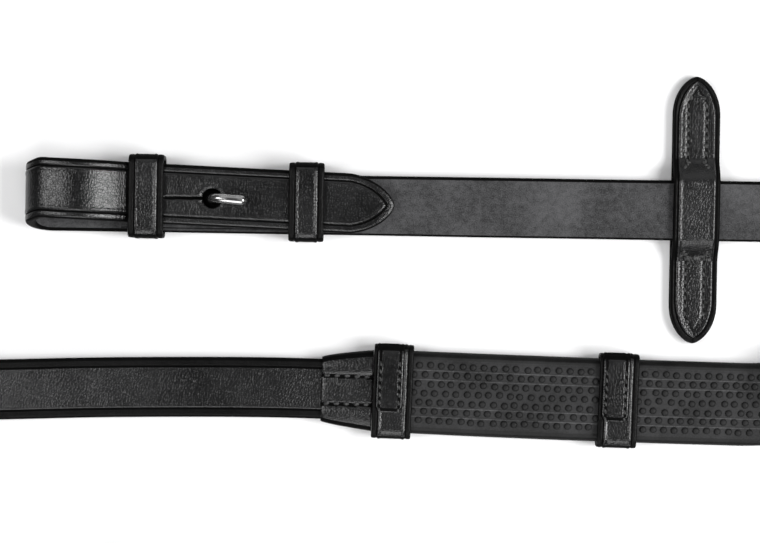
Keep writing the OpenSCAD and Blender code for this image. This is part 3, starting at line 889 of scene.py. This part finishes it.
def bit_end(side):
    """The strap's end turned back for the bit ring, with its stud."""
    name = SIDES[side]
    pts = [[RUN_FROM, 0, 3.5], [24, 0, 3.5], [15, 0, 3.5], [9.5, 0, 3.5]]
    mid_r = LOOP_R + 1.5
    for a in range(0, 121, 20):
        q = math.radians(-90 - a)
        x, z = LOOP_OUT + mid_r * math.cos(q), 2 + LOOP_OUT + mid_r * math.sin(q)
        pts.append([x, (z - 3.5) / 10.5 * ASKEW * (TIP_X - LOOP_OUT), z])
    crown = [(4.6, 13.15), (7.4, 14.05), (10.8, 14.55), (14.2, 14.55), (17.6, 13.9), (20.8, 12.7),
             (23.6, 11.2), (26.2, 9.4), (28.4, 8.5)]
    billet = [(x, BILL_Z) for x in (31, 36, 44, 54, 66, 80, 90, TIP_X)]
    pts += [[x, ASKEW * (TIP_X - x), z] for x, z in crown + billet]
    line, s = spline(pts, 0.55)
    # finer rings at the point
    tip_from = np.searchsorted(s, s[-1] - 13)
    fine = np.linspace(s[tip_from], s[-1] - 0.02, 70)
    s2 = np.r_[s[:tip_from], fine]
    line = np.stack([np.interp(s2, s, line[:, j]) for j in range(3)], -1)
    total = s[-1]
    s = s2
    t = np.gradient(line, s, axis=0)
    t[:, 1] = 0
    t = unit(t)
    # the strap runs towards the loop with its grain down, so the outer face of the turn is grain
    across = np.stack([0 * t[:, 0], 0 * t[:, 0] + 1, 0 * t[:, 0]], -1)
    up = np.cross(t, across)
    if up[-1, 2] < 0:
        up = -up
    sec = strap_section(STRAP_W, STRAP_T, crease=0, n=84)
    kind = sec[:, 2]
    d = total - s
    hw = point_width(d)
    prof = np.repeat(sec[None, :, :2], len(s), 0)
    n, m = len(s), len(sec)
    # the point gets thinner too
    thin = np.clip(0.62 + 0.38 * np.clip(d / 5.0, 0, 1) ** 0.5, 0, 1)
    prof[..., 0] *= (hw / 8.0)[:, None]
    prof[..., 1] *= thin[:, None]
    x = prof[..., 0]
    dd = d[:, None] * np.ones(m)
    # how far each point is inside the strap's outline, which closes at the point
    q = np.linspace(0, 14, 240)
    outline = np.stack([q, point_width(q)], -1)
    inset = np.hypot(dd[..., None] - outline[:, 0], np.abs(x)[..., None] - outline[:, 1]).min(-1)
    inset = np.where(dd > 13.5, 8 - np.abs(x), inset)
    grain = (kind == 0)[None]
    prof[..., 1] -= grain * 0.3 * hump(inset, CREASE_IN, 0.24)
    prof[..., 1] += grain * 0.1 * hump(inset - CREASE_IN, 0.8, 0.4)
    prof[..., 1] -= grain * 0.12 / (1 + np.exp((inset - 0.5) / 0.12))
    # painted shade: the crease is painted near black and the very edge of the point darker
    on_grain = np.where(np.abs(inset - CREASE_IN) < 0.28, 1, np.where(inset < 0.45, 3, 0))
    tones = np.where(grain, on_grain, kind[None])
    wrinkle = swell(70 + side, 9, 0.3, 1.1)
    broad = swell(71 + side, 6, 0.05, 0.25)
    nap = swell(72, 8, 0.3, 1.4)
    ss = s[:, None] * np.ones(m)
    bend = hump(d, 84, 12.0)[:, None]
    prof[..., 1] += grain * ((0.045 + 0.04 * bend) * wrinkle(ss, x * 0.3) + 0.07 * broad(ss, x))
    prof[..., 1] -= (kind == 2)[None] * 0.04 * nap(ss, x)
    # the leather is pressed down round the hole and opens a little along the slit
    wx = line[:, 0][:, None] + 0 * x
    wy = line[:, 1][:, None] + x
    on_top = dd < 75
    rr = np.hypot(wx - HOLE_X, wy - HOLE_Y)
    dent = 0.3 * hump(rr, 2.4, 0.5) * (rr > 1.5) + 0.3 * (rr <= 2.4)
    slit = (0.42 * hump(wy, HOLE_Y, 0.45) / (1 + np.exp((wx - HOLE_X) / 0.5))
            / (1 + np.exp(-(wx - HOLE_X + 13) / 0.5)))
    prof[..., 1] -= grain * on_top * np.maximum(dent, slit)
    prof[..., 1] += grain * on_top * 0.07 * hump(rr, 4.0, 0.8)
    # painted shade: the dent round the hole and the slit are painted near black
    tones = np.where(grain & on_top & ((slit > 0.16) | (rr < 2.75)), 1, tones)
    v = loft(line, across, up, prof)
    v = place_bit(side, v.reshape(-1, 3))
    ids = np.r_[tones[:-1].astype(int).ravel(), [1, 1]]
    ob = make(name + "_bit_turn", v, tube_faces(n, m), LEATHERS, mat_ids=ids,
              replaces=(name + "_front_strap",))
    outward(ob.data)

    def put(q):
        return place_bit(side, q)
    cuts = [round_cut((HOLE_X + 0.25, HOLE_Y), 2.55, BILL_Z - 1.0 - 1.7, BILL_Z + 4, put),
            round_cut((HOLE_X - 1.5, HOLE_Y), 0.22, BILL_Z - 3, BILL_Z + 4, put, 8)]
    # the slit is a thin wedge that widens towards the hole
    x0, x1, slit_hw = HOLE_X - 11.5, HOLE_X - 1.5, 0.16 * 1.6
    wedge = [(a, b, c) for c in (BILL_Z - 0.6, BILL_Z + 3)
             for a, b in ((x0, HOLE_Y - 0.02), (x1, HOLE_Y - slit_hw), (x1, HOLE_Y + slit_hw))]
    cuts.append(cutter(put(wedge), [[0, 1, 2], [3, 5, 4], [0, 3, 4, 1], [1, 4, 5, 2], [2, 5, 3, 0]]))
    pierce(ob, cuts)

    # stud backing, sewn down inside the keepers
    bx = np.linspace(25.3, 81.7, 60)
    sec = strap_section(13.8, 1.15, r=0.4, crease=1.6, depth=0.1, n=16, dome=0.04)
    base = np.stack([bx, 0 * bx, 0 * bx + 5.65], -1)
    ac = np.tile([0.0, 1, 0], (len(bx), 1))
    uu = np.tile([0.0, 0, 1], (len(bx), 1))
    v = place_bit(side, loft(base, ac, uu, np.repeat(sec[None, :, :2], len(bx), 0)).reshape(-1, 3))
    make(name + "_stud_backing_leather", v, tube_faces(len(bx), len(sec)), [FLESH, EDGE_AND_CREASE_SHADE],
         mat_ids=tube_ids((sec[:, 2] == 1).astype(int), len(bx)),
         replaces=(name + "_stud_backing",))
    rows = [(q, e * 5.4, 6.2) for e in (-1, 1) for q in np.arange(27.5, 80, 2.6)]
    stitches(name + "_backing_stitches", put(rows), [[1, 0, 0]] * len(rows), [[0, 0, 1]] * len(rows),
             length=1.8, dia=0.5)

    # the stud's hook: a bent, tapered bar that lies over the billet
    hp, _ = spline([[HOLE_X + x, HOLE_Y + y, z] for x, y, z in (
        (-0.1, 0, 6.8), (-0.05, 0, 8.6), (0.35, 0, 10.2), (1.6, -0.02, 11.35), (3.6, -0.12, 11.75),
        (6.6, -0.35, 11.65), (9.5, -0.55, 11.2))], 0.22)
    hs = np.r_[0, np.cumsum(np.linalg.norm(np.diff(hp, axis=0), axis=1))]
    tt = np.gradient(hp, hs, axis=0)
    tt = unit(tt)
    ac = np.tile([0.0, 1, 0], (len(hp), 1))
    uu = np.cross(ac, tt)
    uu = unit(uu)
    ac = np.cross(tt, uu)
    left = hs[-1] - hs
    r = 1.18 + 0.22 * np.clip(hs / hs[-1], 0, 1)
    r = r * np.sqrt(np.clip(1 - (1 - np.clip(left / 1.4, 0, 1)) ** 2, 0.0004, 1))
    k = 28
    ang = np.arange(k) * 2 * np.pi / k
    prof = np.stack([np.cos(ang)[None] * r[:, None], np.sin(ang)[None] * r[:, None] * 0.93], -1)
    v = place_bit(side, loft(hp, ac, uu, prof).reshape(-1, 3))
    make(name + "_stud_hook", v, tube_faces(len(hp), k), [STEEL],
         replaces=(name + "_hook_stud",))
    # the stud's base is near black as painted shade inside the hole
    disc = [(3.0, 6.22), (3.7, 6.26), (4.0, 6.4), (3.9, 6.58), (3.4, 6.7), (1.5, 6.76), (0.01, 6.78)]
    burr = [(3.5, 1.94), (3.45, 1.6), (3.1, 1.2), (2.2, 0.98), (1.2, 0.92), (0.01, 0.9)]
    for part, rings, mat, nodes in (("_stud_base", disc, HOLE_SHADE_STEEL, ()),
                                    ("_stud_burr", burr, STEEL, (name + "_stud_rivet",))):
        v = [(HOLE_X + a * math.cos(q), HOLE_Y + a * math.sin(q), z) for a, z in rings for q in ang]
        make(name + part, put(v), tube_faces(len(rings), k), [mat], replaces=nodes)


bit_end(0)
bit_end(1)


def keeper(name, centre, w, z0, z1, length, t, place, body, node, seed):
    """A closed loop of leather round the strap, its outer face creased along both edges."""
    line = band_line(w / 2 - t, (z1 - z0) / 2 - t, 1.1, 8, 0.7)
    crease = 1.55
    sec = band_section(length, t, crease=crease, depth=0.2, n=26)
    wob, slow = swell(seed, 8, 0.3, 1.0), swell(seed + 1, 5, 0.08, 0.3)
    v = []
    for x, y, nx, ny in line:
        for a, o in sec:
            bulge = 0.12 * math.cos(math.pi * a / length) if o > t * 0.5 else 0
            o2 = o + bulge + (0.07 * wob(x, a) if o > t * 0.5 else 0)
            v.append((centre[0] + a * (1 + 0.015 * slow(x, y)) + 0.12 * slow(x * 0.6, y),
                      centre[1] + x + nx * o2, (z0 + z1) / 2 + y + ny * o2))
    ob = make(name, place(np.array(v)), band_faces(len(line), len(sec)), LEATHERS, body=body,
              mat_ids=band_tones(line, sec, length, crease), replaces=(node,))
    outward(ob.data)


for side, tag in enumerate(SIDES):
    def put_keeper(q, s=side):
        return place_bit(s, q)
    keeper(tag + "_sewn_keeper", (32.1, 1.5), 22.1, 0.06, 12.0, 9.3, 1.45, put_keeper,
           "reins", tag + "_fixed_keeper", 50 + side)
    keeper(tag + "_sliding_keeper", (74.6, 0.55), 20.9, 0.06, 12.0, 9.3, 1.4, put_keeper,
           tag + "_runner_keeper", tag + "_runner", 60 + side)


# ---- rein stops
MSTOP_L, MSTOP_W = 71.5, 12.7
# the stitch rows: their distance from the middle, and where they start to close and meet
ROW_X, ROW_TURN, ROW_END = 2.45, 28.6, 32.6


def mstop_width(d):
    """Half width of a rein stop, d from its end."""
    d = np.clip(d / 10.5, 0, 1)
    return MSTOP_W / 2 * (1 - (1 - d) ** 2.1) ** 0.62


def rise(y):
    """Height of the bridge's middle above the table, along the stop."""
    a = np.clip((np.abs(y) - 7.3) / 6.6, 0, 1)
    return 6.45 - 3.65 * (a * a * (3 - 2 * a))


def bow(y):
    """The stop's slight sideways curve."""
    return 0.12 * np.sin(y / 17.0)


def mstop(side):
    """A rein stop: a base under the strap and a bridge over it, sewn together at both ends."""
    tag = SIDES[side]
    cx, cy = (84, 17.8) if side == 0 else (-119, -33.65)
    rng = np.random.default_rng(9 + side)
    for part in ("base", "bridge"):
        top_part = part == "bridge"
        inset = 0.15 if top_part else 0.0
        y = np.r_[np.linspace(-MSTOP_L / 2 + 0.03 + inset, -MSTOP_L / 2 + 5, 26),
                  np.linspace(-30.3, 30.3, 132),
                  np.linspace(MSTOP_L / 2 - 5, MSTOP_L / 2 - 0.03 - inset, 26)]
        d = MSTOP_L / 2 - inset - np.abs(y)
        hw = np.maximum(mstop_width(d) - inset, 0.02)
        t = 2.0 if top_part else 1.6
        zc = rise(y) if top_part else 0 * y + 0.84
        slope = np.gradient(zc, y)
        sec = strap_section(MSTOP_W, t, r=0.7, crease=0, n=60, dome=0.1)
        kind = sec[:, 2]
        prof = np.repeat(sec[None, :, :2], len(y), 0)
        prof[..., 0] *= (hw / (MSTOP_W / 2))[:, None]
        prof[..., 1] *= np.clip(0.7 + 0.3 * np.clip(d / 3, 0, 1), 0, 1)[:, None]
        x = prof[..., 0]
        yy, dd = y[:, None] + 0 * x, d[:, None] + 0 * x
        wob, slow = swell(90 + side, 9, 0.3, 1.1), swell(91 + side, 6, 0.1, 0.35)
        if top_part:
            hi = mstop_width(np.clip(dd - 1.3, 0, None)) * (1 - 1.2 / (MSTOP_W / 2))
            g = np.where(dd > 1.4, (np.abs(x) - hi) / 0.2, 9)
            f = (kind == 0)[None]
            prof[..., 1] -= f * 0.26 * np.exp(-g * g)
            prof[..., 1] += f * 0.12 * hump(hi - np.abs(x), 0.7, 0.4)
            # the edge beyond the crease is worked lower
            prof[..., 1] -= f * 0.16 / (1 + np.exp(-(np.abs(x) - hi) / 0.12))
            # stitch channels
            row = np.where(np.abs(yy) > ROW_TURN, ROW_X * np.clip((ROW_END - np.abs(yy)) / 4.0, 0, 1), ROW_X)
            on = (np.abs(yy) > 11.6) & (np.abs(yy) < 32.8)
            prof[..., 1] -= f * on * 0.2 * hump(np.abs(x), row, 0.42)
            # puckers where the rows end beside the bridge
            puck = hump(np.abs(yy), 12.0, 0.9)
            prof[..., 1] += f * puck * (0.12 * hump(np.abs(x), 3.2, 1.0) - 0.16 * hump(x, 0, 1.3))
            prof[..., 1] += f * (0.06 * wob(yy, x) + 0.08 * slow(yy, x))
        nrm = np.stack([0 * y, -slope, 0 * y + 1], -1)
        nrm = unit(nrm)
        across = np.tile([-1.0, 0, 0], (len(y), 1))
        line = np.stack([cx + bow(y), cy + y, zc], -1)
        v = loft(line, across, nrm, prof).reshape(-1, 3)
        n, m = len(y), len(sec)
        # painted shade: all but the grain face is near black; on the bridge the crease is near black, and the
        # edge beyond it and the stitch channels darker
        tones = np.where(kind == 0, 0, 1)[None] + np.zeros((n, m), int)
        if top_part:
            side_x = np.abs(prof[..., 0])
            tones[f & (np.abs(side_x - hi) < 0.24)] = 1
            tones[f & (side_x - hi >= 0.24)] = 3
            tones[f & on & (np.abs(side_x - row) < 0.4)] = 3
        ids = np.r_[tones[:-1].ravel(), [1, 1]]
        ob = make(f"{tag}_rein_stop_{part}", v, tube_faces(n, m), LEATHERS, body=tag + "_stop", mat_ids=ids,
                  replaces=(f"{tag}_stop_{part}",))
        outward(ob.data)
    rows = []
    for e in (-1, 1):
        for q in (-1, 1):
            for i in range(9):
                yv = 12.9 + 2.12 * i
                xv = ROW_X if yv < ROW_TURN else ROW_X * (ROW_END - yv) / 4.0
                rows.append(((cx + q * max(xv, 0.35) + bow(e * yv), cy + e * yv, rise(yv) + 1.0 - 0.12),
                             (-q * 0.6 if yv > ROW_TURN else 0.05 * rng.normal(), e, 0), (0, 0, 1)))
            # a few stitches turn across the end of each row
            for j in range(3):
                yv = 12.6 - 0.7 * j
                rows.append(((cx + q * (2.1 + 0.5 * j), cy + e * yv, rise(yv) + 1.15),
                             (0.9, 0.7 * (j - 1), 0), (0, e * 0.2, 1)))
    stitches(tag + "_rein_stop_stitches", *zip(*rows), length=1.6, dia=0.8, body=tag + "_stop", tilt=0.4,
             replaces=(tag + "_stop_thread",))


mstop(0)
mstop(1)


# ---- the join at the centre buckle
def join(q):
    """From the join's own coordinates into the lay's."""
    return np.asarray(q, float) + np.array([BUCKLE_X, COIL_Y, Z_EDGE])


BAR_Y = HALF_GAP + STRAP_T / 2 + 1.65


def turned_end():
    """The left rein's end, turned round the buckle's bar and sewn down."""
    y0 = HALF_GAP
    pts = [[20, y0, 0], [14, y0, 0], [8, y0, 0], [4, y0, 0]]
    for a in range(0, 181, 20):
        q = math.radians(-90 - a)
        pts.append([3.15 * math.cos(q), BAR_Y + 3.15 * math.sin(q), 0])
    for x, y in ((4, 7.6), (8, 6.3), (12, 5.0), (16, 4.75), (24, 4.7), (32, 4.7), (38.5, 4.6)):
        pts.append([x, y, 0])
    line, s = spline(pts, 0.7)
    t = np.gradient(line, s, axis=0)
    t = unit(t)
    across = np.tile([0.0, 0, 1], (len(s), 1))
    up = np.cross(t, across)
    up = unit(up)
    if up[-1, 1] < 0:
        up = -up
    sec = strap_section(STRAP_W, 2.9, n=40)
    d = s[-1] - s
    prof = np.repeat(sec[None, :, :2], len(s), 0)
    # the end is skived thin
    prof[..., 1] *= (np.clip(0.45 + 0.55 * np.clip(d / 6, 0, 1), 0, 1)[:, None]
                     * np.where(d < 32, 0.86, 1.0)[:, None])
    wob = swell(131, 8, 0.3, 1.0)
    prof[..., 1] += (sec[:, 2] == 0)[None] * 0.05 * wob(s[:, None] + 0 * prof[..., 0], prof[..., 0] * 0.3)
    v = join(loft(line, across, up, prof).reshape(-1, 3))
    ids = tube_ids(strap_tones(sec, STRAP_W), len(s))
    ob = make("left_buckle_turn", v, tube_faces(len(s), len(sec)), LEATHERS, mat_ids=ids,
              replaces=("left_rear_strap",))
    outward(ob.data)
    slot_box = [(x, y, z) for z in (-2.2, 2.2) for x, y in ((-8, -3), (5, -3), (5, 12), (-8, 12))]
    pierce(ob, [cutter(join(slot_box), tube_faces(2, 4))])
    rows = [(x, 5.95, e * 5.6) for e in (-1, 1) for x in np.arange(14, 38, 2.7)]
    stitches("buckle_turn_stitches", join(rows), [[1, 0, 0]] * len(rows), [[0, 1, 0]] * len(rows),
             length=1.9, dia=0.55)


def pointed_end():
    """The right rein's rear strap, with its point and its holes."""
    reach = 11.5
    tail, centres = strap("right_rear_run", RIGHT, REAR_S + 0.4, RIGHT.total - reach, 1.2, 37)
    s = np.linspace(RIGHT.total - reach, RIGHT.total - 0.05, 46)
    p, _, across, up = RIGHT.frame(s)
    sec = strap_section(STRAP_W, STRAP_T)
    prof = np.repeat(sec[None, :, :2], len(s), 0)
    prof[..., 0] *= (point_width(RIGHT.total - s, 8.0, reach) / 8.0)[:, None]
    make("right_rear_point", loft(p, across, up, prof).reshape(-1, 3), tube_faces(len(s), len(sec)), LEATHERS,
         mat_ids=tube_ids(strap_tones(sec, STRAP_W), len(s)), replaces=("right_rear_strap",))
    n = 28
    ang = [2 * math.pi * i / n for i in range(n)]
    cuts = []
    for x in (14, 33):
        hole = [(x + 2 * math.cos(q), y, 2 * math.sin(q)) for y in (-6, 1.4) for q in ang]
        cuts.append(cutter(join(hole), tube_faces(2, n)))
    # the tongue's oval
    oval = [(-6.5 + 2 * math.cos(q) + math.copysign(2.3, math.cos(q)), y, 2 * math.sin(q))
            for y in (-6, 0.05) for q in ang]
    cuts.append(cutter(join(oval), tube_faces(2, n)))
    pierce(tail, cuts)
    declare(tail, centres, STRAP_W)


turned_end()
pointed_end()


def place_join_keeper(q):
    """The keeper's own x runs along the strap, y up the coil and z across the join."""
    q = np.asarray(q, float)
    return join(np.stack([q[:, 0], q[:, 2], q[:, 1]], -1))


keeper("centre_join_keeper", (24, 0), STRAP_W + 3.8, -4.9, 7.5, 8.0, 1.5, place_join_keeper,
       "reins", "centre_keeper", 140)
for node in ("buckle_frame", "buckle_tongue"):
    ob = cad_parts[node]
    ob.data.materials.clear()
    ob.data.materials.append(STEEL)

# ---- floor, light and view
floor_mat, _, shader = nodes_of("floor", 0.9)
shader.inputs["Base Color"].default_value = (0.93, 0.93, 0.935, 1)
bpy.ops.mesh.primitive_plane_add(size=6, location=(0, 0, -0.0002))
floor = bpy.context.object
floor.name = "floor"
floor.data.materials.append(floor_mat)


def area(name, offset, size, power):
    """A soft light over the lay, turned to its middle."""
    ld = bpy.data.lights.new(name, "AREA")
    ld.size = size
    ld.energy = power
    ob = bpy.data.objects.new(name, ld)
    ob.location = (centre[0] + offset[0], centre[1] + offset[1], offset[2])
    d = -np.array(offset)
    turn = math.atan2(d[0], -d[1]) + math.pi
    ob.rotation_euler = (math.atan2(math.hypot(d[0], d[1]), -d[2]), 0, turn)
    bpy.context.collection.objects.link(ob)


area("north", (0.05, 0.85, 0.65), 1.0, 2.0)
area("south", (-0.05, -0.75, 0.68), 0.6, 5.0)
area("west", (-0.5, 0.05, 0.78), 0.35, 3.0)
area("east", (0.64, -0.05, 0.75), 0.45, 9.5)
world = bpy.data.worlds.new("world")
world.use_nodes = True
world.node_tree.nodes["Background"].inputs[0].default_value = (1, 1, 1, 1)
world.node_tree.nodes["Background"].inputs[1].default_value = 0.1
bpy.context.scene.world = world
bpy.context.scene.view_settings.view_transform = "Standard"
